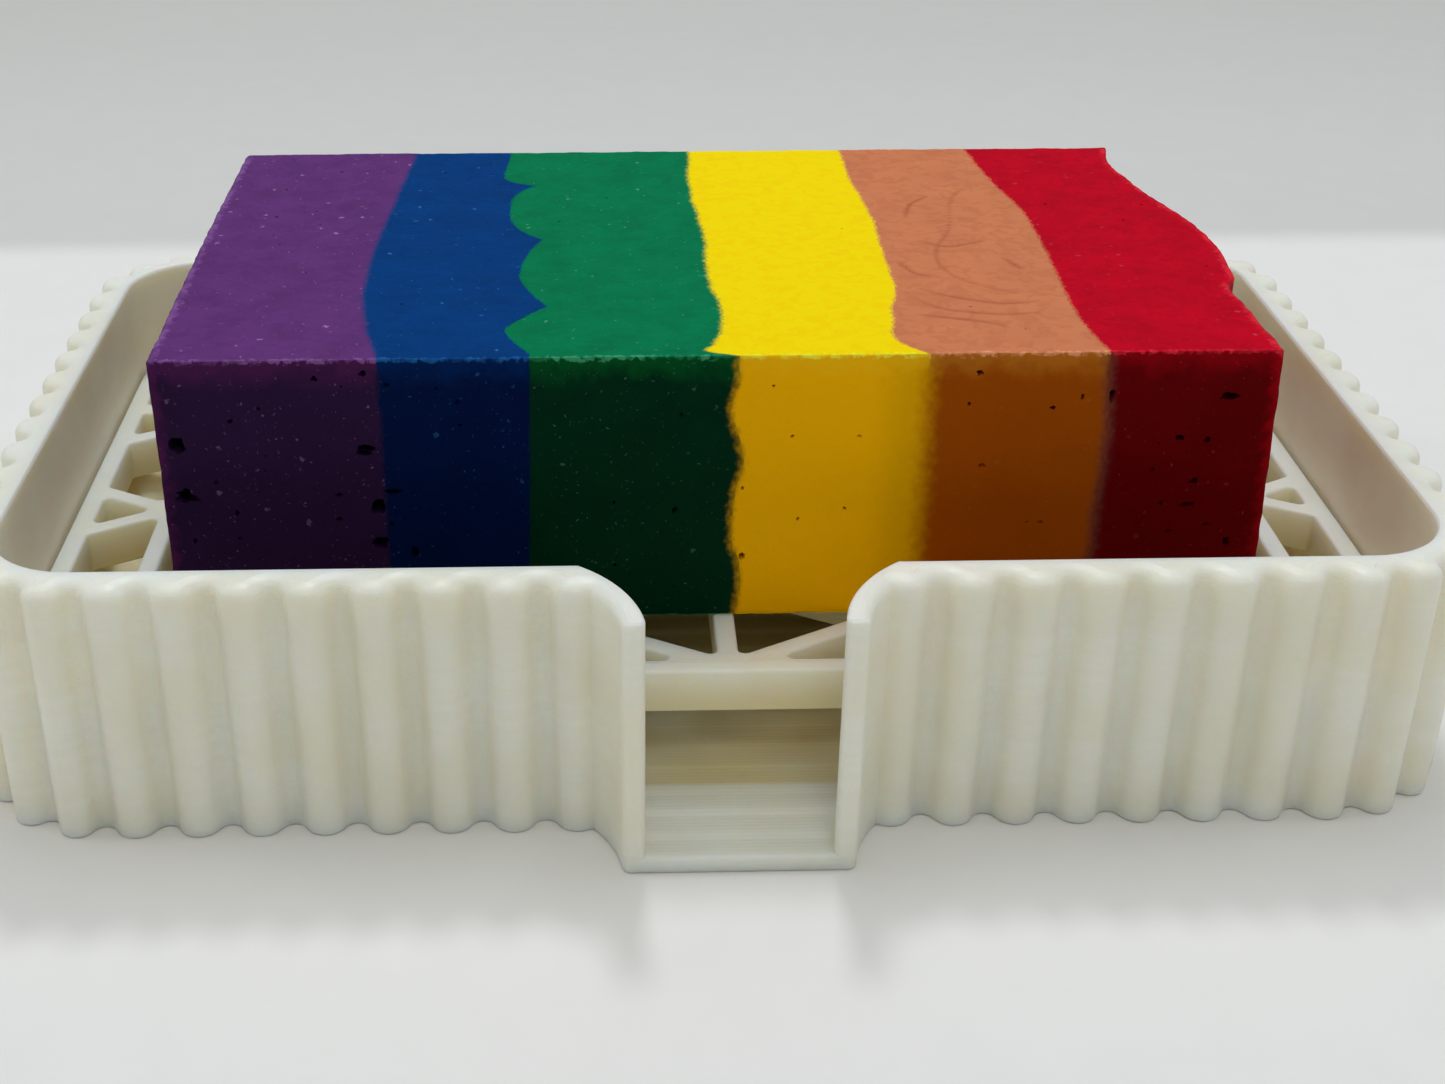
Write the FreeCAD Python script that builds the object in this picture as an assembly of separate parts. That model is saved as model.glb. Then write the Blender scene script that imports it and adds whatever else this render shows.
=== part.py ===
import FreeCAD, Part
import math
import os
from FreeCAD import Vector

# Self-draining soap dish, printed in plastic, with a bar of layered soap on it.
# Millimetres, +Z up. The origin is on the surface that the dish stands on, under the
# middle of its outer box. The spout points to -Y and the long side lies along X.
#
# Pieces: the ribbed tray with its spout, the loose drain grid that stands on four corner
# posts inside the tray, and the bar of soap, poured in six layers of different colour.

# ---- driving dimensions --------------------------------------------------------------

TRAY_WIDTH = 120.8          # over the rib crests, along X
TRAY_DEPTH = 74.0           # over the rib crests, along Y, without the spout
TRAY_HEIGHT = 22.4
CREST_CORNER_RADIUS = 10.8  # plan radius of the line through the rib crests
WALL = 3.6                  # from a rib crest to the inner face of the wall

RIB_COUNT = 74              # ribs that would go all the way round, spout included
RIB_DEPTH = 1.6             # crest to groove
CREST_RADIUS = 1.75
RIM_ROUND = 1.2             # rounding of the rim's outer edge
RIM_STEPS = 6               # outlines that the rim's rounding is lofted through
CREST_STEPS = 3             # outline points on each flank of a crest
GROOVE_STEPS = 2            # the same for a groove; its last point is left to the curve

SPOUT_X = 1.0               # the spout and the rib pattern sit just right of the middle
SPOUT_REACH = 5.5           # from the front crest line to the tip of the spout
CHEEK_RADIUS = 12.4         # plan radius of the cheeks' inner faces
CHEEK_CENTRE_X = 19.6       # from the spout's middle to the centre of a cheek's arc
CHEEK_CENTRE_Y = -6.3       # from the front crest line to the centre of a cheek's arc
CHEEK_WALL = 1.8
TIP_ROUND = 0.8
SPOUT_ROOT = 1.5            # how far the spout's block reaches back into the wall

LIP_HEIGHT = 1.4            # floor thickness at the mouth of the spout
FLOOR_SLOPE = math.radians(4.1)

POST_HEIGHT = 8.8           # the grid stands on the posts
POST_WIDTH = 2.4            # how far a post stands in from the wall
POST_LENGTH = 11.0          # size of the corner square that holds a post

GRID_HEIGHT = 3.8
GRID_GAP = 0.25             # clearance between the grid and the tray wall
GRID_FRAME = 1.8            # width of the grid's outer frame
GRID_RIB = 1.7
GRID_CELL = 18.8            # side of the triangles, along Y
GRID_TURN = math.radians(30)
GRID_CORNER = 0.5           # rounding of the triangular openings
GRID_SMALLEST = 4.0         # square millimetres; a smaller opening is left filled
LATTICE_X = 0.6             # middle rib of the grid, from the middle of the tray

SOAP_HEIGHT = 23.0
SOAP_DEPTH = 52.4
SOAP_FRONT = 12.5           # from the front crest line to the front of the soap
SOAP_LAYERS = [             # node name ending and the layer's left face; the last is the end
    ("purple", -43.9),
    ("blue", -27.4),
    ("green", -15.9),
    ("yellow", 0.4),
    ("orange", 15.3),
    ("red", 29.5),
]
SOAP_END = 44.0

# ---- derived sizes -------------------------------------------------------------------

HALF_WIDTH = TRAY_WIDTH / 2
FRONT_Y = (SPOUT_REACH - TRAY_DEPTH) / 2   # y of the front crest line
BACK_Y = FRONT_Y + TRAY_DEPTH
TIP_Y = FRONT_Y - SPOUT_REACH
INNER_RADIUS = CREST_CORNER_RADIUS - WALL
STRAIGHT_X = TRAY_WIDTH - 2 * CREST_CORNER_RADIUS
STRAIGHT_Y = TRAY_DEPTH - 2 * CREST_CORNER_RADIUS
CORNER_ARC = math.pi / 2 * CREST_CORNER_RADIUS
CREST_LINE_LENGTH = 2 * STRAIGHT_X + 2 * STRAIGHT_Y + 4 * CORNER_ARC
RIB_PITCH = CREST_LINE_LENGTH / RIB_COUNT

# A crest arc and a groove arc meet tangent to each other half a pitch apart.
ARC_SUM = (RIB_PITCH ** 2 / 4 + RIB_DEPTH ** 2) / (2 * RIB_DEPTH)
GROOVE_RADIUS = ARC_SUM - CREST_RADIUS
FLANK_ANGLE = math.asin(RIB_PITCH / 2 / ARC_SUM)

GRID_TOP = POST_HEIGHT + GRID_HEIGHT
CLEAR = 1.0                 # how far cutting solids run past what they cut


# ---- plan outlines -------------------------------------------------------------------

def crest_line(s):
    """Point and outward normal on the rounded rectangle through the crests, at arc
    length s counted towards +X from the front, level with the spout's middle."""
    s = (s + STRAIGHT_X / 2 + SPOUT_X) % CREST_LINE_LENGTH
    x0, x1 = -STRAIGHT_X / 2, STRAIGHT_X / 2
    y0, y1 = FRONT_Y + CREST_CORNER_RADIUS, BACK_Y - CREST_CORNER_RADIUS
    sides = [
        (STRAIGHT_X, Vector(x0, FRONT_Y, 0), -90, Vector(x1, y0, 0)),
        (STRAIGHT_Y, Vector(HALF_WIDTH, y0, 0), 0, Vector(x1, y1, 0)),
        (STRAIGHT_X, Vector(x1, BACK_Y, 0), 90, Vector(x0, y1, 0)),
        (STRAIGHT_Y, Vector(-HALF_WIDTH, y1, 0), 180, Vector(x0, y0, 0)),
    ]
    for length, start, facing, corner in sides:
        turn = math.radians(facing)
        if s <= length:
            along = Vector(-math.sin(turn), math.cos(turn), 0)
            return start + along * s, Vector(math.cos(turn), math.sin(turn), 0)
        s -= length
        if s <= CORNER_ARC:
            turn += s / CREST_CORNER_RADIUS
            normal = Vector(math.cos(turn), math.sin(turn), 0)
            return corner + normal * CREST_CORNER_RADIUS, normal
        s -= CORNER_ARC
    return crest_line(0)


def rib_profile():
    """One rib as (arc length from the crest, depth below the crest, slope angle)."""
    profile = []
    for step in range(-CREST_STEPS, CREST_STEPS + 1):
        angle = FLANK_ANGLE * step / CREST_STEPS
        across = CREST_RADIUS * math.sin(angle)
        profile.append((across, CREST_RADIUS * (1 - math.cos(angle)), angle))
    for step in range(1 - GROOVE_STEPS, GROOVE_STEPS):
        angle = FLANK_ANGLE * step / GROOVE_STEPS
        across = RIB_PITCH / 2 + GROOVE_RADIUS * math.sin(angle)
        depth = RIB_DEPTH - GROOVE_RADIUS * (1 - math.cos(angle))
        profile.append((across, depth, -angle))
    return profile


def ribbed_wire(z, inset):
    """Closed outline of the ribbed wall at height z, moved inwards by inset."""
    points = []
    profile = rib_profile()
    for rib in range(RIB_COUNT):
        crest = (rib + 0.5) * RIB_PITCH
        for across, depth, angle in profile:
            place, normal = crest_line(crest + across)
            along = Vector(-normal.y, normal.x, 0)
            face = normal * math.cos(angle) + along * math.sin(angle)
            point = place - normal * depth - face * inset
            points.append(Vector(point.x, point.y, z))
    curve = Part.BSplineCurve()
    curve.interpolate(Points=points, PeriodicFlag=True)
    return Part.Wire([curve.toShape()])


def inner_face(inset, z):
    """Rounded rectangle that lies inset inside the tray's inner wall faces."""
    half_x = HALF_WIDTH - WALL - inset
    y0, y1 = FRONT_Y + WALL + inset, BACK_Y - WALL - inset
    radius = max(INNER_RADIUS - inset, GRID_CORNER)
    box = Part.makeBox(2 * half_x, y1 - y0, CLEAR, Vector(-half_x, y0, z))
    upright = [edge for edge in box.Edges if edge.BoundBox.ZLength > CLEAR / 2]
    rounded = box.makeFillet(radius, upright)
    bottom = min(rounded.Faces, key=lambda face: face.CenterOfMass.z)
    return bottom


def prism(face, z0, z1):
    """Upright solid over a horizontal face, from height z0 to z1."""
    solid = face.copy()
    solid.translate(Vector(0, 0, z0 - face.BoundBox.ZMin))
    return solid.extrude(Vector(0, 0, z1 - z0))


def floor_height(y):
    return LIP_HEIGHT + (y - TIP_Y) * math.tan(FLOOR_SLOPE)


def below_floor():
    """Wedge that fills everything under the sloping floor."""
    y0, y1 = TIP_Y - 2 * CLEAR, BACK_Y + CLEAR
    corners = [
        Vector(-TRAY_WIDTH, y0, -CLEAR),
        Vector(-TRAY_WIDTH, y1, -CLEAR),
        Vector(-TRAY_WIDTH, y1, floor_height(y1)),
        Vector(-TRAY_WIDTH, y0, floor_height(y0)),
    ]
    side = Part.Face(Part.makePolygon(corners + corners[:1]))
    return side.extrude(Vector(2 * TRAY_WIDTH, 0, 0))


# ---- tray ----------------------------------------------------------------------------

def cheek_point(radius, y, side):
    """Point of a cheek's arc at y; side is -1 for the left cheek and 1 for the right."""
    centre_y = FRONT_Y + CHEEK_CENTRE_Y
    reach = math.sqrt(radius ** 2 - (y - centre_y) ** 2)
    return Vector(SPOUT_X + side * (CHEEK_CENTRE_X - reach), y, 0)


def cheek_arc(radius, y_from, y_to, side):
    """Arc of a cheek between two places along Y."""
    middle = (y_from + y_to) / 2
    ends = cheek_point(radius, y_from, side), cheek_point(radius, y_to, side)
    return Part.Arc(ends[0], cheek_point(radius, middle, side), ends[1]).toShape()


def spout_face(radius, y_back, y_front):
    """Plan face between the two cheeks' arcs of one radius."""
    right = cheek_arc(radius, y_back, y_front, 1)
    left = cheek_arc(radius, y_front, y_back, -1)
    front = Part.makeLine(cheek_point(radius, y_front, 1), cheek_point(radius, y_front, -1))
    back = Part.makeLine(cheek_point(radius, y_back, -1), cheek_point(radius, y_back, 1))
    return Part.Face(Part.Wire([right, front, left, back]))


def make_wall_block():
    """The ribbed block as a whole, with its rounded rim, before it is hollowed."""
    sections = [ribbed_wire(0, 0)]
    for step in range(RIM_STEPS + 1):
        angle = math.pi / 2 * step / RIM_STEPS
        z = TRAY_HEIGHT - RIM_ROUND + RIM_ROUND * math.sin(angle)
        sections.append(ribbed_wire(z, RIM_ROUND * (1 - math.cos(angle))))
    return Part.makeLoft(sections, True, True)


def make_spout_block():
    """The block in front of the wall that the cheeks and the lip are cut from."""
    outer = CHEEK_RADIUS - CHEEK_WALL
    block = prism(spout_face(outer, FRONT_Y + SPOUT_ROOT, TIP_Y), 0, TRAY_HEIGHT)
    tips = [
        edge for edge in block.Edges
        if edge.BoundBox.ZLength > CLEAR and edge.BoundBox.YMax < TIP_Y + CLEAR
    ]
    block = block.makeFillet(TIP_ROUND, tips)
    rim = [
        edge for edge in block.Edges
        if edge.BoundBox.ZMin > TRAY_HEIGHT - CLEAR and edge.BoundBox.YMin < FRONT_Y
    ]
    return block.makeFillet(TIP_ROUND, rim)


def make_posts():
    """Four posts in the corners of the tray, up to the underside of the grid."""
    ring = prism(inner_face(-CLEAR / 2, 0), LIP_HEIGHT / 2, POST_HEIGHT)
    ring = ring.cut(prism(inner_face(POST_WIDTH, 0), 0, TRAY_HEIGHT))
    half_x = HALF_WIDTH - WALL + CLEAR
    y0, y1 = FRONT_Y + WALL - CLEAR, BACK_Y - WALL + CLEAR
    size = POST_LENGTH + CLEAR
    posts = []
    for x in (-half_x, half_x - size):
        for y in (y0, y1 - size):
            corner = Part.makeBox(size, size, TRAY_HEIGHT, Vector(x, y, 0))
            posts.append(ring.common(corner))
    return posts


def make_tray():
    top = TRAY_HEIGHT + CLEAR
    hollow = prism(inner_face(0, 0), 0, top)
    channel = prism(spout_face(CHEEK_RADIUS, FRONT_Y + WALL, TIP_Y - CLEAR), 0, top)
    hollow = hollow.fuse(channel).cut(below_floor())
    tray = make_wall_block().fuse(make_spout_block())
    tray = tray.cut(hollow)
    tray = tray.fuse(make_posts())
    return tray.removeSplitter()


# ---- drain grid ----------------------------------------------------------------------

def grid_ribs():
    """Flat strips of the triangular lattice: along Y, and 30 degrees either side of X."""
    column = GRID_CELL * math.cos(GRID_TURN)
    columns = int(HALF_WIDTH / column)
    rows = math.ceil((TRAY_DEPTH + HALF_WIDTH) / GRID_CELL)
    length = 2 * TRAY_WIDTH
    start = Vector(LATTICE_X, FRONT_Y + WALL + GRID_GAP + GRID_FRAME / 2, 0)
    strips = []
    for index in range(-columns, columns + 1):
        strip = Part.makePlane(GRID_RIB, length, Vector(-GRID_RIB / 2, -length / 2, 0))
        strip.translate(start + Vector(index * column, 0, 0))
        strips.append(strip)
    for angle in (-GRID_TURN, GRID_TURN):
        for index in range(-rows, rows + 1):
            strip = Part.makePlane(length, GRID_RIB, Vector(-length / 2, -GRID_RIB / 2, 0))
            strip.rotate(Vector(0, 0, 0), Vector(0, 0, 1), math.degrees(angle))
            strip.translate(start + Vector(0, index * GRID_CELL, 0))
            strips.append(strip)
    return strips


def make_drain_grid():
    openings = inner_face(GRID_GAP + GRID_FRAME, 0).cut(grid_ribs())
    grid = prism(inner_face(GRID_GAP, 0), POST_HEIGHT, GRID_TOP)
    cutters = []
    for opening in openings.Faces:
        if opening.Area < GRID_SMALLEST:
            continue
        rounded = opening.makeOffset2D(-GRID_CORNER)
        rounded = rounded.makeOffset2D(GRID_CORNER)
        cutters.append(prism(rounded, POST_HEIGHT - CLEAR, GRID_TOP + CLEAR))
    return grid.cut(cutters)


# ---- soap ----------------------------------------------------------------------------

def make_soap_layers():
    """The bar's layers, side by side along X, each touching the next."""
    faces = [x for _, x in SOAP_LAYERS] + [SOAP_END]
    layers = {}
    for index, (colour, left) in enumerate(SOAP_LAYERS):
        corner = Vector(left, FRONT_Y + SOAP_FRONT, GRID_TOP)
        width = faces[index + 1] - left
        layer = Part.makeBox(width, SOAP_DEPTH, SOAP_HEIGHT, corner)
        layers["soap_layer_" + colour] = layer
    return layers


# ---- write the parts -----------------------------------------------------------------

def main():
    os.makedirs("parts", exist_ok=True)
    nodes = {"tray": make_tray(), "drain_grid": make_drain_grid()}
    nodes.update(make_soap_layers())
    for name, shape in nodes.items():
        solids = shape.Solids
        print(name, "solids", len(solids), "valid", shape.isValid(), round(shape.Volume, 1))
        Part.makeCompound(solids).exportStep("parts/" + name + ".step")


main()
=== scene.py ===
import functools
import itertools
import math
import bmesh
import bpy
import numpy as np
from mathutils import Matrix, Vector, noise


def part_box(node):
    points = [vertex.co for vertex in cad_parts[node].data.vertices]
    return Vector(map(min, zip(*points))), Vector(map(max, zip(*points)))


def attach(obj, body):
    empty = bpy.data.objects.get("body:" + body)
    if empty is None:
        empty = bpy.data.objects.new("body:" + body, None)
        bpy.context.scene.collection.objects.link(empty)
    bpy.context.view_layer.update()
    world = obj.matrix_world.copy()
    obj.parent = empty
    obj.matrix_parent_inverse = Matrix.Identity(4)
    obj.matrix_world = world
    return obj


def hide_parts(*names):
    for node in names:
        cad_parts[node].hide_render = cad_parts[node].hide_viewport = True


# A printed self-draining soap dish with a bar of layered soap. Shapes are worked out in
# millimetres in the frame's axes and turned into metres when a mesh is made.

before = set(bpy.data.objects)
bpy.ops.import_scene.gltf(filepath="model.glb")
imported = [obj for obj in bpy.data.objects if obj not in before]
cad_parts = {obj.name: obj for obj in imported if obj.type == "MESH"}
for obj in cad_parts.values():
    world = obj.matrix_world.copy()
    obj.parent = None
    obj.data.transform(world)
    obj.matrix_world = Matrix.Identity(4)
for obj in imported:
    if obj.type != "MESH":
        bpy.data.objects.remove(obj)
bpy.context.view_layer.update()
MM = 0.001


def box_mm(node):
    """Lowest and highest corner of a CAD node, in millimetres."""
    low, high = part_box(node)
    return low / MM, high / MM


def layer_box(colour):
    """The same for one colour of the bar."""
    return box_mm("soap_layer_" + colour)


# ---- sizes ---------------------------------------------------------------------------

TRAY_LOW, TRAY_HIGH = box_mm("tray")
GRID_LOW, GRID_HIGH = box_mm("drain_grid")
SOAP_LOW = layer_box("purple")[0]
SOAP_HIGH = layer_box("red")[1]

LAYER_HEIGHT = 0.2          # one printed layer
LINE_WIDTH = 0.42           # one printed line

RIB_COUNT = 74
RIB_DEPTH = 1.6
CREST_RADIUS = 1.75         # rounding of a rib's crest in plan
CREST_STEPS = 6             # outline points on each flank of a crest
GROOVE_STEPS = 4
CREST_CORNER_RADIUS = 10.8  # of the rounded rectangle that runs along the crests
WALL = 3.6                  # thickness from the crests to the inner face
RIM_ROUND = 1.2
INNER_ROUND = 0.3
FOOT_ROUND = 0.3

SPOUT_X = 1.0               # the spout's middle
SPOUT_REACH = 5.5           # how far its two tips stand out beyond the crests
SPOUT_RIBS = 2              # ribs that make way for the spout, on each side of its middle
CHEEK_RADIUS = 12.4         # plan curve that each side of the spout, or cheek, follows
CHEEK_WALL = 1.8
CHEEK_CENTRE = (19.6, -6.3)  # from the spout's middle and from the front crest line
CHEEK_STEPS = 18
CHEEK_ROUND = 0.7
TIP_ROUND = 0.75
TIP_STEPS = 7
TIP_START = -90             # degrees where a tip's rounding starts, and where it ends
TIP_END_OUTSIDE = -8        # outside the cheek
TIP_END_INSIDE = -176       # and inside it

LIP_HEIGHT = 1.4            # the floor's height at the spout
LIP_ROUND = 0.35
LIP_STEPS = 4
FLOOR_SLOPE = math.radians(4.1)
STEP_RAMP = 0.4             # half width of the ramp from one printed layer to the next
POST_WIDTH = 2.4
POST_LENGTH = 11.0
OVERLAP = 0.9               # how far the floor and the posts run into the wall

HALF_WIDTH = TRAY_HIGH.x
TRAY_HEIGHT = TRAY_HIGH.z
TIP_Y = TRAY_LOW.y
BACK_Y = TRAY_HIGH.y
FRONT_Y = TIP_Y + SPOUT_REACH
STRAIGHT_X = 2 * (HALF_WIDTH - CREST_CORNER_RADIUS)
STRAIGHT_Y = BACK_Y - FRONT_Y - 2 * CREST_CORNER_RADIUS
CORNER_ARC = math.pi / 2 * CREST_CORNER_RADIUS
CREST_LINE = 2 * STRAIGHT_X + 2 * STRAIGHT_Y + 4 * CORNER_ARC
RIB_PITCH = CREST_LINE / RIB_COUNT
ARC_SUM = (RIB_PITCH ** 2 / 4 + RIB_DEPTH ** 2) / (2 * RIB_DEPTH)
GROOVE_RADIUS = ARC_SUM - CREST_RADIUS
FLANK_ANGLE = math.asin(RIB_PITCH / 2 / ARC_SUM)
CHEEK_AT = np.array((CHEEK_CENTRE[0] + SPOUT_X, CHEEK_CENTRE[1] + FRONT_Y))


# ---- mesh helpers --------------------------------------------------------------------

def new_piece(name, points, faces):
    """Object with a mesh from points in millimetres and faces as lists of indices."""
    mesh = bpy.data.meshes.new(name)
    mesh.from_pydata((np.asarray(points, float) * MM).tolist(), [], faces)
    mesh.update()
    piece = bpy.data.objects.new(name, mesh)
    bpy.context.scene.collection.objects.link(piece)
    return piece


def combine(base, other, operation):
    """Boolean of two closed pieces; base keeps the result and other goes."""
    modifier = base.modifiers.new("combine", "BOOLEAN")
    modifier.operation = operation
    modifier.solver = "MANIFOLD"
    modifier.object = other
    depsgraph = bpy.context.evaluated_depsgraph_get()
    result = bpy.data.meshes.new_from_object(base.evaluated_get(depsgraph))
    base.modifiers.clear()
    base.data = result
    bpy.data.objects.remove(other)


def turn_outwards(piece):
    """Turns every face of a closed piece outwards."""
    work = bmesh.new()
    work.from_mesh(piece.data)
    bmesh.ops.recalc_face_normals(work, faces=work.faces)
    work.to_mesh(piece.data)
    work.free()


def finish_piece(piece, material, body, replaced, sharp=28):
    """Shading, material and body of one piece; hides the CAD part it replaces."""
    mesh = piece.data
    mesh.materials.clear()
    mesh.materials.append(material)
    mesh.shade_smooth()
    mesh.set_sharp_from_angle(angle=math.radians(sharp))
    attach(piece, body)
    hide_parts(replaced)


def ring_faces(loops, size):
    """Quads between closed loops that follow one another in the point list."""
    faces = []
    for row in range(loops - 1):
        for i in range(size):
            j = (i + 1) % size
            a, b = row * size, (row + 1) * size
            faces.append((a + i, a + j, b + j, b + i))
    return faces


def capped_faces(size):
    """Faces of a solid between two outlines of that many points."""
    return ring_faces(2, size) + [tuple(reversed(range(size))), tuple(range(size, 2 * size))]


def prism(name, outline, z0, z1):
    """Upright solid over a plan outline that runs counter-clockwise."""
    points = [(x, y, z) for z in (z0, z1) for x, y in outline]
    return new_piece(name, points, capped_faces(len(outline)))


def arc(centre, radius, start, end, steps):
    """Points of a plan arc; angles in degrees."""
    turns = np.radians(np.linspace(start, end, steps + 1))
    return [(centre[0] + radius * math.cos(t), centre[1] + radius * math.sin(t)) for t in turns]


def mirrored(points):
    """Plan points on the other side of the spout's middle, in reverse order."""
    return [(2 * SPOUT_X - x, y) for x, y in reversed(points)]


# ---- plan of the wall ----------------------------------------------------------------

def crest_line(s):
    """Point and outward normal on the rounded rectangle through the crests, at arc
    length s counted towards +X from the front, level with the spout's middle."""
    s = (s + STRAIGHT_X / 2 + SPOUT_X) % CREST_LINE
    x0, x1 = -STRAIGHT_X / 2, STRAIGHT_X / 2
    y0, y1 = FRONT_Y + CREST_CORNER_RADIUS, BACK_Y - CREST_CORNER_RADIUS
    sides = [
        (STRAIGHT_X, (x0, FRONT_Y), -90, (x1, y0)),
        (STRAIGHT_Y, (HALF_WIDTH, y0), 0, (x1, y1)),
        (STRAIGHT_X, (x1, BACK_Y), 90, (x0, y1)),
        (STRAIGHT_Y, (-HALF_WIDTH, y1), 180, (x0, y0)),
    ]
    for length, start, facing, corner in sides:
        turn = math.radians(facing)
        if s <= length:
            along = np.array((-math.sin(turn), math.cos(turn)))
            return np.array(start) + along * s, np.array((math.cos(turn), math.sin(turn)))
        s -= length
        if s <= CORNER_ARC:
            turn += s / CREST_CORNER_RADIUS
            normal = np.array((math.cos(turn), math.sin(turn)))
            return np.array(corner) + normal * CREST_CORNER_RADIUS, normal
        s -= CORNER_ARC
    return crest_line(0)


def rib_profile():
    """One rib as (arc length from the crest, depth below the crest)."""
    profile = []
    for step in range(-CREST_STEPS, CREST_STEPS + 1):
        angle = FLANK_ANGLE * step / CREST_STEPS
        profile.append((CREST_RADIUS * math.sin(angle), CREST_RADIUS * (1 - math.cos(angle))))
    for step in range(1 - GROOVE_STEPS, GROOVE_STEPS):
        angle = FLANK_ANGLE * step / GROOVE_STEPS
        across = RIB_PITCH / 2 + GROOVE_RADIUS * math.sin(angle)
        profile.append((across, RIB_DEPTH - GROOVE_RADIUS * (1 - math.cos(angle))))
    return profile


def rib_outline():
    """Outer and inner plan points of the ribbed wall, between the two cheeks."""
    outer, inner, places = [], [], []
    profile = rib_profile()
    cheek = CHEEK_RADIUS - CHEEK_WALL
    other_cheek = CHEEK_AT * (-1, 1) + (2 * SPOUT_X, 0)
    for rib in range(SPOUT_RIBS, RIB_COUNT - SPOUT_RIBS):
        for across, depth in profile:
            s = (rib + 0.5) * RIB_PITCH + across
            place, normal = crest_line(s)
            point = place - normal * depth
            near = min(np.linalg.norm(point - at) for at in (CHEEK_AT, other_cheek))
            if near < cheek or min(s, CREST_LINE - s) > CHEEK_CENTRE[0]:
                outer.append(point)
                places.append(s)
    # The inner face starts a little further from the spout than the ribs do.
    reach = math.sqrt(CHEEK_RADIUS ** 2 - (WALL - CHEEK_CENTRE[1]) ** 2)
    start = CHEEK_CENTRE[0] - reach
    settle = start + RIB_PITCH
    for s in places:
        side = min(s, CREST_LINE - s)
        if side < settle:
            side = np.interp(side, (places[0], settle), (start, settle))
            s = side if s < CREST_LINE / 2 else CREST_LINE - side
        place, normal = crest_line(s)
        inner.append(place - normal * WALL)
    return outer, inner


def cheek_outline(outer_start):
    """Outer and inner plan points of the right cheek, from its tip back to the wall."""
    thick = CHEEK_RADIUS - CHEEK_WALL
    cx, cy = CHEEK_AT
    tip = TIP_Y + TIP_ROUND
    outer_x = cx - math.sqrt(thick ** 2 - (tip - cy) ** 2)
    inner_x = cx - math.sqrt(CHEEK_RADIUS ** 2 - (tip - cy) ** 2)
    outer = arc((outer_x - TIP_ROUND, tip), TIP_ROUND, TIP_START, TIP_END_OUTSIDE, TIP_STEPS)
    inner = arc((inner_x + TIP_ROUND, tip), TIP_ROUND, TIP_START, TIP_END_INSIDE, TIP_STEPS)
    towards = math.degrees(math.atan2(outer_start[1] - cy, outer_start[0] - cx))
    at_tip = math.degrees(math.atan2(tip - cy, outer_x - cx))
    outer += arc(CHEEK_AT, thick, at_tip - 1, towards + 1, CHEEK_STEPS)
    at_tip = math.degrees(math.atan2(tip - cy, inner_x - cx))
    at_wall = 180 - math.degrees(math.asin((WALL - CHEEK_CENTRE[1]) / CHEEK_RADIUS))
    inner += arc(CHEEK_AT, CHEEK_RADIUS, at_tip - 1, at_wall, CHEEK_STEPS)
    middle = ((outer[0][0] + inner[0][0]) / 2, TIP_Y)
    return [middle] + outer, [middle] + inner


def wall_outline():
    """Closed plan outline of the wall, how far its top edge is rounded at each point, and
    how many of its points are on the outer side, which comes first. Point i of the outer
    side lies across the wall from point -i of the inner side."""
    ribs_outer, ribs_inner = rib_outline()
    right_outer, right_inner = cheek_outline(ribs_outer[0])
    outer = right_outer + ribs_outer + mirrored(right_outer)
    inner = right_inner + ribs_inner + mirrored(right_inner)
    count = len(outer)
    loop = np.array(outer + list(reversed(inner[1:-1])), float)
    rounding = np.full(len(loop), INNER_ROUND)
    rounding[:count] = RIM_ROUND
    cheek = len(right_outer)
    ramp = np.interp(np.arange(cheek), (0, TIP_STEPS, cheek), (CHEEK_ROUND, CHEEK_ROUND, RIM_ROUND))
    rounding[:cheek] = ramp
    rounding[count - cheek:count] = ramp[::-1]
    tips = np.interp(np.arange(TIP_STEPS + 2), (0, TIP_STEPS + 1), (CHEEK_ROUND, INNER_ROUND))
    rounding[-TIP_STEPS - 1:] = tips[:0:-1]
    rounding[count:count + TIP_STEPS + 1] = tips[1:]
    return loop, rounding, count


def loop_normals(loop):
    """Outward normals of a counter-clockwise loop, lengthened at its corners."""
    ahead = np.roll(loop, -1, 0) - loop
    ahead /= np.linalg.norm(ahead, axis=1)[:, None]
    right = np.stack((ahead[:, 1], -ahead[:, 0]), 1)
    total = right + np.roll(right, 1, 0)
    total /= np.linalg.norm(total, axis=1)[:, None]
    return total / np.maximum((total * right).sum(1), 0.5)[:, None]


def edge_inset(rounding, below_top):
    """How far a rounded edge stands back, at a height below its top."""
    up = np.clip(rounding - below_top, 0, rounding)
    return rounding - np.sqrt(rounding ** 2 - up ** 2)


# ---- tray ----------------------------------------------------------------------------

CAP_ROWS = 5                # rows of faces across the wall's flat top
TOP_SETBACK = 0.3           # how far the top layer stands back, as a share of the rounding
SEAM = 0.03                 # half height of the small slope between two printed layers
STEP_SHARE = 0.22           # how stepped the rim's rounding is, from smooth 0 to stepped 1


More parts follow.
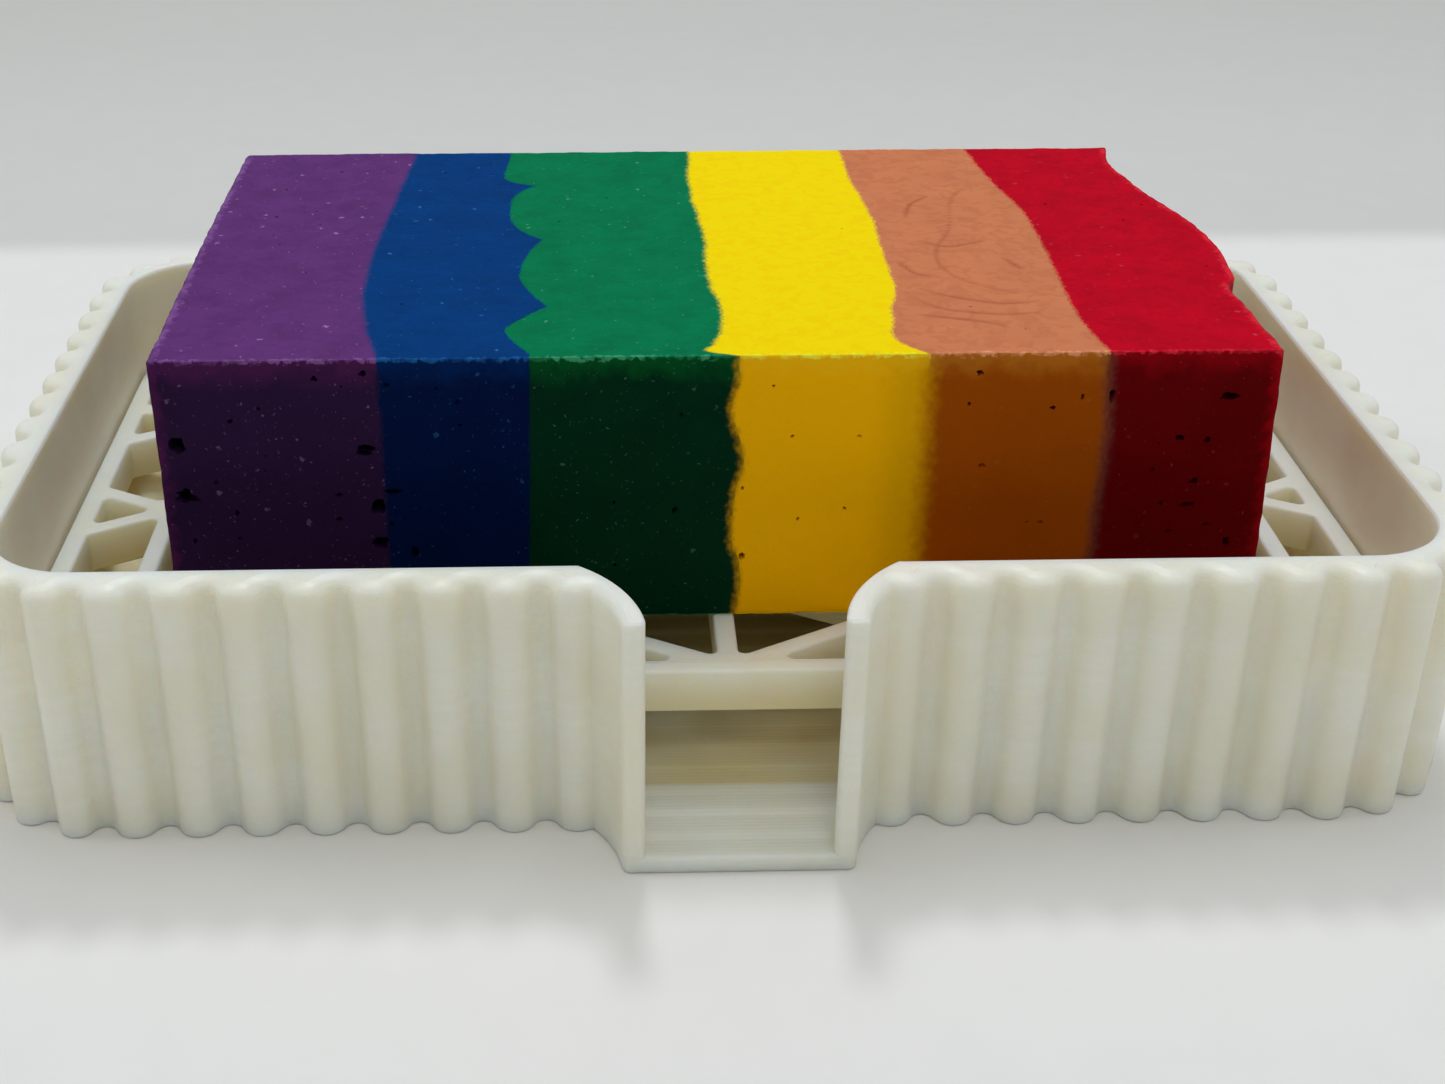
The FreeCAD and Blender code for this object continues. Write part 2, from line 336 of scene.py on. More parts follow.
def make_wall():
    """The wall with its cheeks, rounded at the top in printed layers."""
    loop, rounding, count = wall_outline()
    normals = loop_normals(loop)
    size = len(loop)
    rows = []
    for z in (0, FOOT_ROUND / 3, FOOT_ROUND):
        rows.append((edge_inset(np.full(size, FOOT_ROUND), z), z))
    layers = round(RIM_ROUND / LAYER_HEIGHT)
    for layer in range(layers):
        bottom = TRAY_HEIGHT - RIM_ROUND + layer * LAYER_HEIGHT
        middle = edge_inset(rounding, TRAY_HEIGHT - bottom - LAYER_HEIGHT / 2)
        for z in (bottom + SEAM, bottom + LAYER_HEIGHT - SEAM):
            smooth = edge_inset(rounding, TRAY_HEIGHT - z)
            rows.append((middle * STEP_SHARE + smooth * (1 - STEP_SHARE), z))
    rows.append((rows[-1][0] + TOP_SETBACK * rounding, TRAY_HEIGHT - SEAM / 2))
    rows.append((rows[-1][0] + SEAM, TRAY_HEIGHT))
    points = []
    for inset, z in rows:
        flat = loop - normals * inset[:, None]
        points += [(x, y, z) for x, y in flat]
    faces = ring_faces(len(rows), size)
    # Top: rows of points from the outer side of the wall to the inner side.
    top = [(len(rows) - 1) * size + i for i in range(size)]
    lanes = [top[:count]]
    for row in range(1, CAP_ROWS):
        lane = [top[0]]
        share = row / CAP_ROWS
        for i in range(1, count - 1):
            a, b = np.array(points[top[i]]), np.array(points[top[size - i]])
            lane.append(len(points))
            points.append(tuple(a * (1 - share) + b * share))
        lane.append(top[count - 1])
        lanes.append(lane)
    lanes.append([top[0]] + [top[size - i] for i in range(1, count - 1)] + [top[count - 1]])
    # Bottom: one row of faces straight across. The lists meet at both ends of the wall,
    # where a point that comes twice is dropped from its face.
    corners = []
    for one, two in zip(lanes, lanes[1:]):
        corners += zip(one, one[1:], two[1:], two)
    for i in range(count - 1):
        j = i + 1
        corners.append((i, (size - i) % size, (size - j) if j < count - 1 else j, j))
    faces += [tuple(dict.fromkeys(corner)) for corner in corners]
    return new_piece("dish_tray", points, faces)


def inner_rectangle(inset, steps=10):
    """Rounded rectangle of the tray's inner face, moved inwards by inset."""
    x = HALF_WIDTH - WALL - inset
    y0, y1 = FRONT_Y + WALL + inset, BACK_Y - WALL - inset
    radius = CREST_CORNER_RADIUS - WALL - inset
    corners = [(-x, y0, 180), (x, y0, 270), (x, y1, 0), (-x, y1, 90)]
    outline = []
    for cx, cy, start in corners:
        centre = (cx - math.copysign(radius, cx), cy + (radius if cy == y0 else -radius))
        outline += arc(centre, radius, start, start + 90, steps)
    return outline


def floor_footprint():
    """Plan outline of the floor: the inside of the tray and the channel of the spout."""
    outline = inner_rectangle(-OVERLAP)
    radius = CHEEK_RADIUS - OVERLAP
    y = FRONT_Y + WALL - OVERLAP
    start = 180 - math.degrees(math.asin((y - CHEEK_AT[1]) / radius))
    end = 180 - math.degrees(math.asin((TIP_Y - 1 - CHEEK_AT[1]) / radius))
    right = arc(CHEEK_AT, radius, end, start, CHEEK_STEPS)
    corner = len(outline) // 4
    return outline[:corner] + mirrored(right) + right + outline[corner:]


def make_floor():
    """The sloping floor, stepped in printed layers, with its rounded lip."""
    lip = TIP_Y + SEAM
    profile = [(lip + FOOT_ROUND, 0), (lip + FOOT_ROUND / 4, FOOT_ROUND / 4), (lip, FOOT_ROUND)]
    profile += [
        (lip + LIP_ROUND * (1 - math.cos(t)), LIP_HEIGHT - LIP_ROUND * (1 - math.sin(t)))
        for t in np.linspace(0, math.pi / 2, LIP_STEPS + 1)
    ]
    tread = LAYER_HEIGHT / math.tan(FLOOR_SLOPE)
    back = BACK_Y - WALL + 2 * OVERLAP
    steps = int((back - STEP_RAMP - lip) / tread)
    for step in range(1, steps + 1):
        y, z = lip + step * tread, LIP_HEIGHT + step * LAYER_HEIGHT
        profile += [
            (y - STEP_RAMP, z - LAYER_HEIGHT),
            (y, z - 0.4 * LAYER_HEIGHT),
            (y + STEP_RAMP, z),
        ]
    profile += [(back, LIP_HEIGHT + steps * LAYER_HEIGHT), (back, 0)]
    x = HALF_WIDTH - WALL + 2 * OVERLAP
    points = [(side * x, y, z) for side in (1, -1) for y, z in profile]
    slab = new_piece("floor_slab", points, capped_faces(len(profile)))
    turn_outwards(slab)
    outline = prism("footprint", floor_footprint(), -1, TRAY_HEIGHT)
    combine(slab, outline, "INTERSECT")
    return slab


def make_post(side_x, side_y):
    """One corner post, up to the underside of the drain grid."""
    outer = inner_rectangle(-OVERLAP)
    inner = inner_rectangle(POST_WIDTH)
    corner = len(outer) // 4
    first = {(-1, -1): 0, (1, -1): 1, (1, 1): 2, (-1, 1): 3}[side_x, side_y] * corner
    curve = outer[first:first + corner]
    back = inner[first:first + corner]
    x0 = side_x * (HALF_WIDTH - WALL - POST_LENGTH)
    y0 = (FRONT_Y + WALL if side_y < 0 else BACK_Y - WALL) - side_y * POST_LENGTH
    # The outline runs along the wall, round its corner, and back at the post's inner side.
    if side_x * side_y > 0:
        outline = [(curve[0][0], y0)] + curve + [(x0, curve[-1][1]), (x0, back[-1][1])]
        outline += back[::-1] + [(back[0][0], y0)]
    else:
        outline = [(x0, curve[0][1])] + curve + [(curve[-1][0], y0), (back[-1][0], y0)]
        outline += back[::-1] + [(x0, back[0][1])]
    return prism("post", outline, LIP_HEIGHT / 2, GRID_LOW.z)


def make_tray(material):
    """The dish in one piece: wall, floor and posts."""
    tray = make_wall()
    combine(tray, make_floor(), "UNION")
    for side_x in (-1, 1):
        for side_y in (-1, 1):
            combine(tray, make_post(side_x, side_y), "UNION")
    finish_piece(tray, material, "tray", "tray")


# ---- drain grid ----------------------------------------------------------------------

GRID_GAP = 0.25             # between the grid's frame and the tray
GRID_FRAME = 1.8
GRID_RIB = 1.7
GRID_CELL = 18.8            # side of one triangle of the lattice, between rib middles
GRID_CORNER = 0.55
GRID_SMALLEST = 4.0         # area below which an opening is filled
GRID_EDGE = 0.28            # rounding along the grid's edges
LATTICE_X = 0.6             # where one of the ribs that run front to back stands
LATTICE_COLUMNS = range(-4, 4)
LATTICE_ROWS = range(-2, 10)
STRAIGHT_ENOUGH = math.radians(80)  # half of the angle from which a corner isn't rounded


def clip_convex(shape, clip):
    """The part of one convex outline that lies inside another; both counter-clockwise."""
    for a, b in zip(clip, clip[1:] + clip[:1]):
        sides = [(b[0] - a[0]) * (p[1] - a[1]) - (b[1] - a[1]) * (p[0] - a[0]) for p in shape]
        kept = []
        corners = zip(shape, shape[1:] + shape[:1], sides, sides[1:] + sides[:1])
        for p, q, p_side, q_side in corners:
            if p_side >= 0:
                kept.append(p)
            if p_side * q_side < 0:
                share = p_side / (p_side - q_side)
                kept.append((p[0] + (q[0] - p[0]) * share, p[1] + (q[1] - p[1]) * share))
        shape = kept
        if not shape:
            return []
    return shape


def area(outline):
    """Signed area of an outline, positive when counter-clockwise."""
    pairs = zip(outline, outline[1:] + outline[:1])
    return sum(p[0] * q[1] - q[0] * p[1] for p, q in pairs) / 2


def round_corners(outline, radius, steps=5):
    """A convex counter-clockwise outline, with its corners rounded where they turn sharply."""
    rounded = []
    count = len(outline)
    for i in range(count):
        before, here, after = (np.array(outline[(i + k) % count]) for k in (-1, 0, 1))
        one, two = before - here, after - here
        lengths = np.linalg.norm(one), np.linalg.norm(two)
        if min(lengths) < 1e-6:
            continue
        one, two = one / lengths[0], two / lengths[1]
        half = math.acos(max(-1, min(1, float(one @ two)))) / 2
        if half > STRAIGHT_ENOUGH:
            rounded.append(tuple(here))
            continue
        cut = min(radius / math.tan(half), 0.45 * min(lengths))
        real = cut * math.tan(half)
        middle = (one + two) / np.linalg.norm(one + two)
        centre = here + middle * real / math.sin(half)
        start = here + one * cut - centre
        first = math.atan2(start[1], start[0])
        for step in range(steps + 1):
            a = first + (math.pi - 2 * half) * step / steps
            rounded.append((centre[0] + real * math.cos(a), centre[1] + real * math.sin(a)))
    return rounded


def grid_openings():
    """Plan outlines of the triangular openings between the ribs."""
    column = GRID_CELL * math.cos(math.radians(30))
    inside = inner_rectangle(GRID_GAP + GRID_FRAME)
    start_y = FRONT_Y + WALL + GRID_GAP + GRID_FRAME / 2
    inradius = GRID_CELL / math.sqrt(12)
    shrink = 1 - GRID_RIB / 2 / inradius
    openings = []
    for k, n, pointing in itertools.product(LATTICE_COLUMNS, LATTICE_ROWS, (0, 1)):
        left, right = k * column + LATTICE_X, (k + 1) * column + LATTICE_X
        base, tip = (left, right) if pointing == 0 else (right, left)
        odd = (k + pointing) % 2
        y = start_y + (n + odd / 2) * GRID_CELL
        triangle = [(base, y), (base, y + GRID_CELL), (tip, y + GRID_CELL / 2)]
        if area(triangle) < 0:
            triangle.reverse()
        cx = sum(p[0] for p in triangle) / 3
        cy = sum(p[1] for p in triangle) / 3
        triangle = [(cx + (x - cx) * shrink, cy + (y - cy) * shrink) for x, y in triangle]
        opening = clip_convex(triangle, inside)
        if len(opening) > 2 and area(opening) > GRID_SMALLEST:
            openings.append(round_corners(opening, GRID_CORNER))
    return openings


def make_grid(material):
    """The drain grid, filled between its outline and its openings, with rounded edges."""
    curve = bpy.data.curves.new("grid_curve", "CURVE")
    curve.dimensions = "2D"
    curve.fill_mode = "BOTH"
    half = (GRID_HIGH.z - GRID_LOW.z) / 2
    curve.extrude = (half - GRID_EDGE) * MM
    curve.bevel_depth = GRID_EDGE * MM
    curve.bevel_resolution = 2
    curve.offset = -GRID_EDGE * MM
    for outline in [inner_rectangle(GRID_GAP)] + [o[::-1] for o in grid_openings()]:
        spline = curve.splines.new("POLY")
        spline.points.add(len(outline) - 1)
        for point, (x, y) in zip(spline.points, outline):
            point.co = (x * MM, y * MM, 0, 1)
        spline.use_cyclic_u = True
    holder = bpy.data.objects.new("grid_holder", curve)
    bpy.context.scene.collection.objects.link(holder)
    depsgraph = bpy.context.evaluated_depsgraph_get()
    mesh = bpy.data.meshes.new_from_object(holder.evaluated_get(depsgraph))
    bpy.data.objects.remove(holder)
    work = bmesh.new()
    work.from_mesh(mesh)
    bmesh.ops.remove_doubles(work, verts=work.verts, dist=0.002 * MM)
    bmesh.ops.translate(work, verts=work.verts, vec=(0, 0, (GRID_LOW.z + half) * MM))
    bmesh.ops.recalc_face_normals(work, faces=work.faces)
    work.to_mesh(mesh)
    work.free()
    grid = bpy.data.objects.new("drain_insert", mesh)
    bpy.context.scene.collection.objects.link(grid)
    finish_piece(grid, material, "drain_grid", "drain_grid", sharp=35)


# ---- soap ----------------------------------------------------------------------------

SOAP_STEP = 0.4             # spacing of the mesh on the soap
FINE_STEP = 0.25            # the same from front to back, and along X in the orange
EDGE_STEPS = (0, 0.07, 0.15, 0.25, 0.38, 0.55)  # distances of mesh rows from a worn edge
EDGE_ROUND = 0.3            # usual rounding of a worn edge, which varies along it
EDGE_RANGE = (0.08, 0.6)
FACE_INSET = 0.06           # how far the cut faces stand in, to stay inside the CAD model
FAR = 1e3                   # a limit that no point reaches
COLOURS = ("purple", "blue", "green", "yellow", "orange", "red")
# The layers at the bar's ends: the name of the face there, and which way along X is inwards.
END_FACES = {"purple": ("purple", 1), "red": ("end", -1)}

# Where each face between two colours runs, seen from above: the distance from the front
# of the bar, then how far the face stands to the right of its place in the CAD model.
SEEN_FROM_ABOVE = {
    "purple": [(0, 0.0), (26, -0.1), (52, 0.1)],
    "blue": [(0, 1.0), (4, 0.1), (10.5, -1.0), (21.5, -1.4), (37.5, -0.6), (51.5, 0.3)],
    "yellow": [(0, 0.6), (0.9, -1.7), (2.4, -1.1), (5.2, -0.3), (18.5, -0.6), (28.5, -0.3),
               (37, -0.9), (51.8, -0.6)],
    "orange": [(0, 0.7), (1.7, -0.9), (6.9, -1.2), (13.5, -0.1), (20.5, 0.0), (31, 0.2),
               (42.5, -0.4), (52, -0.5)],
    "red": [(0, 0.5), (4.5, -0.2), (16.5, -0.2), (25.3, 0.1), (33.3, 0.0), (42.1, -1.3),
            (51, -2.1)],
    "end": [(0, -0.5), (9.3, -0.8), (14.4, -0.7), (15.6, 0.0), (17.8, 0.3), (24.8, 0.7),
            (30.2, 0.1), (37.3, -1.7), (43, -2.7), (46.4, -3.2), (49.5, -3.0), (51.9, -2.5)],
}
# The green meets the blue in lobes. Tips point to the right: (distance back, shift).
LOBE_TIPS = [(0.9, 1.2), (10.7, 2.4), (26.7, 1.8), (41.7, 0.9), (52.5, -1.7)]
# Between each two tips is a hollow: (distance back, shift, and how hooked the face is
# from there to the tip in front and to the tip behind).
LOBE_HOLLOWS = [(5.7, -0.9, 1.4, 1.4), (17.3, 0.0, 1.4, 2.4), (34.9, -1.3, 3.0, 3.4),
                (45.0, -2.2, 3.0, 1.0)]
# The same faces at the front of the bar: the depth below the top, then the shift.
SEEN_FROM_FRONT = {
    "green": [(0, 0), (10, -0.2), (23, -0.7)],
    "yellow": [(0, 0.4), (2.6, 0.5), (3.8, 0.0), (5.7, 0.2), (7.5, 0.6), (9.2, 0.9), (11.1, 0.5),
               (16.8, 0.3), (18.4, 0.8), (20, 0.8), (23, 0.7)],
    "red": [(0, 0), (8, 0.5), (14, 0.3), (23, 0.4)],
    "end": [(0, 0), (10, 0.3), (23, 0.6)],
}
FRONT_FADE = 5.0            # how far back the front's own shifts reach
RAGGED = {"blue": 0.1, "green": 0.05, "yellow": 0.2, "orange": 0.16, "red": 0.1}
RAGGED_ELSEWHERE = 0.05
RAGGED_STEP = 0.25          # spacing of the map that the raggedness is read from


def smooth_curve(points, at):
    """Values of a smooth curve through given points (position, value)."""
    xs, ys = (np.array(column, float) for column in zip(*points))
    slopes = np.gradient(ys, xs)
    at = np.clip(at, xs[0], xs[-1])
    i = np.clip(np.searchsorted(xs, at) - 1, 0, len(xs) - 2)
    h = xs[i + 1] - xs[i]
    t = (at - xs[i]) / h
    one = (1 + 2 * t) * (1 - t) ** 2 * ys[i] + t * (1 - t) ** 2 * h * slopes[i]
    two = t ** 2 * (3 - 2 * t) * ys[i + 1] + t ** 2 * (t - 1) * h * slopes[i + 1]
    return one + two


def lobed_curve(at):
    """The lobed face between blue and green, through its tips and hollows."""
    tip_at, tip = (np.array(column) for column in zip(*LOBE_TIPS))
    hollow_at, hollow, hook_front, hook_back = (np.array(column) for column in zip(*LOBE_HOLLOWS))
    i = np.clip(np.searchsorted(tip_at, at) - 1, 0, len(hollow) - 1)
    at = np.clip(at, tip_at[0], tip_at[-1])
    in_front = at < hollow_at[i]
    end_at = np.where(in_front, tip_at[i], tip_at[i + 1])
    end = np.where(in_front, tip[i], tip[i + 1])
    hook = np.where(in_front, hook_front[i], hook_back[i])
    share = np.clip((at - hollow_at[i]) / (end_at - hollow_at[i]), 0, 1)
    return hollow[i] + (end - hollow[i]) * share ** hook


def grain(points, size, seed):
    """Smooth noise from -1 to 1 at points in millimetres; size is its grain."""
    offset = Vector((seed * 7.3, seed * 3.1, seed * 5.7))
    return np.array([noise.noise(Vector(p) / size + offset) for p in points])


@functools.cache
def ragged_map(name):
    """How far a face between two colours wanders, on a grid of Y and Z."""
    ys = np.arange(SOAP_LOW.y - 1, SOAP_HIGH.y + 1, RAGGED_STEP)
    zs = np.arange(SOAP_LOW.z - 1, SOAP_HIGH.z + 1, RAGGED_STEP)
    places = [(0.0, y, z) for y in ys for z in zs]
    seed = 1 + (COLOURS + ("end",)).index(name)
    wander = grain(places, 2.0, seed) + 0.5 * grain(places, 0.7, seed + 9)
    return RAGGED.get(name, RAGGED_ELSEWHERE) * wander.reshape(len(ys), len(zs))


def ragged(name, y, z):
    """The map's values at any Y and Z."""
    values = ragged_map(name)
    row = np.clip((y - SOAP_LOW.y + 1) / RAGGED_STEP, 0, values.shape[0] - 1.001)
    column = np.clip((z - SOAP_LOW.z + 1) / RAGGED_STEP, 0, values.shape[1] - 1.001)
    i, j = row.astype(int), column.astype(int)
    s, t = row - i, column - j
    near = values[i, j] * (1 - t) + values[i, j + 1] * t
    far = values[i + 1, j] * (1 - t) + values[i + 1, j + 1] * t
    return near * (1 - s) + far * s


def soap_face(name, y, z):
    """X of the face at the left of a layer (or the bar's right end) at y and z."""
    base = SOAP_HIGH.x if name == "end" else layer_box(name)[0].x
    back = y - SOAP_LOW.y
    if name == "green":
        x = base + lobed_curve(back)
    else:
        x = base + smooth_curve(SEEN_FROM_ABOVE[name], back)
    if name in SEEN_FROM_FRONT:
        seen = smooth_curve(SEEN_FROM_FRONT[name], SOAP_HIGH.z - z)
        x = x + seen * np.exp(-back / FRONT_FADE)
    return x + ragged(name, y, z)


def spaced(low, high, fine_low=True, fine_high=True, step=SOAP_STEP):
    """Positions from low to high, closer together beside rounded edges."""
    values = list(np.linspace(low, high, max(2, round((high - low) / step) + 1)))
    reach = EDGE_STEPS[-1]
    if fine_low:
        values = [v for v in values if v > low + reach] + [low + e for e in EDGE_STEPS]
    if fine_high:
        values = [v for v in values if v < high - reach] + [high - e for e in EDGE_STEPS]
    return np.array(sorted(values))


def block_shell(nx, ny, nz):
    """Quads on the surface of a block of nx x ny x nz points, and the points they use."""
    index = np.arange(nx * ny * nz).reshape(nx, ny, nz)
    sheets = [
        (index[0], True), (index[-1], False),
        (index[:, 0], False), (index[:, -1], True),
        (index[:, :, 0], True), (index[:, :, -1], False),
    ]
    quads = []
    for sheet, flip in sheets:
        a, b, c, d = sheet[:-1, :-1], sheet[1:, :-1], sheet[1:, 1:], sheet[:-1, 1:]
        quad = np.stack([a, b, c, d], -1).reshape(-1, 4)
        quads.append(quad[:, ::-1] if flip else quad)
    quads = np.concatenate(quads)
    used, faces = np.unique(quads, return_inverse=True)
    return used, faces.reshape(-1, 4)


def rounded_edges(points, low, high, radius):
    """Points of a block's surface, with the block's edges rounded by radius."""
    core = np.clip(points, low + radius[:, None], high - radius[:, None])
    away = points - core
    length = np.linalg.norm(away, axis=1)
    scale = np.where(length > 1e-6, radius / np.maximum(length, 1e-6), 1)
    return np.where((length > radius)[:, None], core + away * scale[:, None], points)


def make_layer(number):
    """One colour of the bar: uneven faces, worn edges, and its neighbours' shapes."""
    colour = COLOURS[number]
    following = COLOURS[number + 1] if number + 1 < len(COLOURS) else "end"
    first, last = number == 0, number == len(COLOURS) - 1
    fine = FINE_STEP if colour == "orange" else SOAP_STEP
    ys = spaced(SOAP_LOW.y, SOAP_HIGH.y, step=FINE_STEP)
    zs = spaced(SOAP_LOW.z, SOAP_HIGH.z)
    left_low, right_high = layer_box(colour)
    width = right_high.x - left_low.x
    us = spaced(0, width, first, last, step=fine) / width
    grid = np.stack(np.meshgrid(us, ys, zs, indexing="ij"), -1).reshape(-1, 3)
    used, faces = block_shell(len(us), len(ys), len(zs))
    u, y, z = grid[used].T
    left, right = soap_face(colour, y, z), soap_face(following, y, z)
    x = left + (right - left) * u
    points = np.stack([x, y, z], 1)
    low = np.array([0 if first else -FAR, SOAP_LOW.y, SOAP_LOW.z], float)
    high = np.array([0 if last else FAR, SOAP_HIGH.y, SOAP_HIGH.z], float)
    # Rounding works in a straight block, so the bar's two uneven ends are taken as flat.
    straight = points.copy()
    if first:
        straight[:, 0] = points[:, 0] - left
    if last:
        straight[:, 0] = points[:, 0] - right
    radius = EDGE_ROUND * (1 + 0.6 * grain(points, 1.3, 40)) * (1 + 0.3 * grain(points, 0.5, 41))
    rounded = rounded_edges(straight, low, high, np.clip(radius, *EDGE_RANGE))
    points = points + (rounded - straight)
    # The front, the back and the top are a little uneven.
    on_front = (y < SOAP_LOW.y + 0.01) | (y > SOAP_HIGH.y - 0.01)
    on_top = z > SOAP_HIGH.z - 0.01
    relief = 0.05 * grain(points, 4.0, 50) + 0.02 * grain(points, 0.9, 51)
    inward = np.sign(y - (SOAP_LOW.y + SOAP_HIGH.y) / 2)
    points[:, 1] -= np.where(on_front, inward * (FACE_INSET + relief), 0)
    points[:, 2] -= np.where(on_top, FACE_INSET + relief, 0)
    return new_piece("soap_" + colour, points, faces.tolist())


# Larger holes on the front face: X, depth below the top, width and height.
PITS = {
    "purple": [(-27.7, 7.7, 1.7, 0.6), (-26.9, 9.0, 0.9, 0.9), (-27.0, 5.8, 0.4, 0.5),
               (-27.5, 1.2, 0.5, 0.4), (-27.8, 5.2, 0.4, 0.7), (-26.9, 12.6, 1.1, 1.2),
               (-27.0, 15.8, 1.2, 0.8), (-27.4, 17.6, 0.8, 0.4), (-42.1, 11.5, 1.4, 1.0),
               (-40.5, 11.1, 0.6, 0.5), (-42.3, 7.1, 1.0, 0.9), (-30.0, 11.6, 0.6, 0.3),
               (-28.1, 12.0, 0.8, 0.4), (-31.3, 1.6, 0.5, 0.4), (-38.2, 13.1, 0.4, 0.4),
               (-30.2, 13.7, 0.4, 0.3), (-41.8, 15.5, 0.3, 0.4), (-41.0, 15.4, 0.4, 0.4),
               (-38.0, 5.1, 0.4, 0.3)],
    "blue": [(-25.7, 11.3, 1.1, 0.4), (-24.3, 16.8, 0.7, 0.7), (-26.0, 14.2, 0.3, 0.3)],
    "green": [(-3.5, 13.3, 0.4, 0.5), (-8.3, 12.5, 0.25, 0.3), (-8.3, 18.2, 0.3, 0.3)],
    "yellow": [(4.1, 2.6, 0.3, 0.3), (4.8, 2.3, 0.25, 0.3), (5.7, 6.9, 0.3, 0.3),
               (10.1, 13.3, 0.3, 0.3), (6.4, 14.2, 0.25, 0.3), (1.9, 11.4, 0.3, 0.4),
               (2.0, 17.5, 0.5, 0.7)],
    "orange": [(20.0, 1.7, 0.6, 0.5), (19.4, 4.3, 0.3, 0.3), (19.5, 5.1, 0.3, 0.3),
               (26.0, 4.7, 0.5, 0.4), (28.2, 3.8, 0.3, 0.6)],
    "red": [(30.5, 3.8, 0.5, 1.0), (39.8, 3.9, 1.2, 0.7), (31.6, 3.1, 0.3, 0.4),
            (36.3, 7.4, 0.6, 0.5), (37.2, 8.4, 0.9, 0.5), (38.5, 7.6, 0.5, 0.5),
            (37.9, 11.3, 0.8, 0.5), (40.0, 11.5, 0.7, 1.0), (37.4, 9.7, 0.6, 0.4),
            (38.3, 9.7, 0.4, 0.4), (37.6, 13.4, 1.2, 0.4), (38.7, 13.2, 0.9, 0.4),
            (36.5, 13.5, 0.4, 0.3), (35.5, 13.2, 0.3, 0.3), (36.4, 15.7, 0.4, 0.3),
            (39.4, 15.2, 0.9, 0.3), (41.2, 16.7, 0.6, 0.6), (37.3, 6.8, 0.4, 0.3),
            (36.0, 8.5, 0.4, 0.4)],
}
PIT_GROWTH = {"purple": 1.3, "blue": 1.2, "red": 1.15}
PIT_DEPTH = (1.6, 0.6)      # depth of a hole's lump: a share of its narrower side, plus this
PIT_SINK = 0.05             # how far a lump's middle lies inside the surface it cuts
TOP_PIT_SINK = 0.08         # the same on top
# Small holes at random places: in the front and back, a third as many on top, and in each
# of the bar's two ends. The sizes are the least and the most.
SMALL_PITS = {"purple": 30, "blue": 14, "green": 8, "yellow": 4, "orange": 6, "red": 16}
END_PITS = 26
SMALL_PIT_SIZE = (0.15, 0.4)
TOP_PIT_SIZE = (0.12, 0.3)
END_PIT_SIZE = (0.2, 0.5)
STRETCH = (1, 1.8)          # how much longer than high a small hole is
EDGE_MARGIN = 1             # how far the small holes stay from the bar's edges
SEAM_MARGIN = 1.5           # and from the next colour


def blob(centre, size, dice):
    """Points and faces of one irregular closed lump."""
    work = bmesh.new()
    bmesh.ops.create_icosphere(work, subdivisions=2, radius=0.5)
    shift = Vector(dice.uniform(-50, 50, 3))
    points = []
    for vert in work.verts:
        coarse, fine = (noise.noise(vert.co * scale + shift) for scale in (2.8, 6.5))
        ripple = 1 + 0.8 * coarse + 0.5 * fine
        points.append([c + s * v * ripple for c, s, v in zip(centre, size, vert.co)])
    faces = [[vert.index for vert in face.verts] for face in work.faces]
    work.free()
    return points, faces


def cut_pits(piece, colour, dice):
    """Cuts the holes that the soap's bubbles left in its cut faces."""

    def anywhere(axis, margin=EDGE_MARGIN, box=(SOAP_LOW, SOAP_HIGH)):
        return dice.uniform(box[0][axis] + margin, box[1][axis] - margin)

    box = layer_box(colour)
    blobs = []
    grow = PIT_GROWTH.get(colour, 1.0)
    for x, down, width, height in PITS[colour]:
        centre = (x, SOAP_LOW.y + PIT_SINK, SOAP_HIGH.z - down)
        depth = PIT_DEPTH[0] * min(width, height) + PIT_DEPTH[1]
        blobs.append((centre, (grow * width, depth, grow * height)))
    for _ in range(SMALL_PITS[colour]):
        size = dice.uniform(*SMALL_PIT_SIZE)
        x, z = anywhere(0, SEAM_MARGIN, box), anywhere(2)
        front = dice.random() < 0.5
        y = SOAP_LOW.y + FACE_INSET if front else SOAP_HIGH.y - FACE_INSET
        blobs.append(((x, y, z), (size * dice.uniform(*STRETCH), size * 1.6, size)))
    for _ in range(SMALL_PITS[colour] // 3):
        size = dice.uniform(*TOP_PIT_SIZE)
        x, y = anywhere(0, SEAM_MARGIN, box), anywhere(1)
        blobs.append(((x, y, SOAP_HIGH.z - TOP_PIT_SINK), (size * 1.5, size, size)))
    if colour in END_FACES:
        face, inwards = END_FACES[colour]
        for _ in range(END_PITS):
            size = dice.uniform(*END_PIT_SIZE)
            y, z = anywhere(1), anywhere(2)
            x = float(soap_face(face, np.array([y]), np.array([z]))[0]) + PIT_SINK * inwards
            blobs.append(((x, y, z), (1.6 * size, size * dice.uniform(*STRETCH), size)))
    # A lump that would run into an earlier one is left out.
    points, faces, kept = [], [], []
    for centre, size in blobs:
        reach = max(size) * 0.75
        if all(np.linalg.norm(np.subtract(centre, c)) > reach + r for c, r in kept):
            kept.append((centre, reach))
            more, quads = blob(centre, size, dice)
            faces += [[i + len(points) for i in quad] for quad in quads]
            points += more
    combine(piece, new_piece("pits", points, faces), "DIFFERENCE")


# ---- materials -----------------------------------------------------------------------

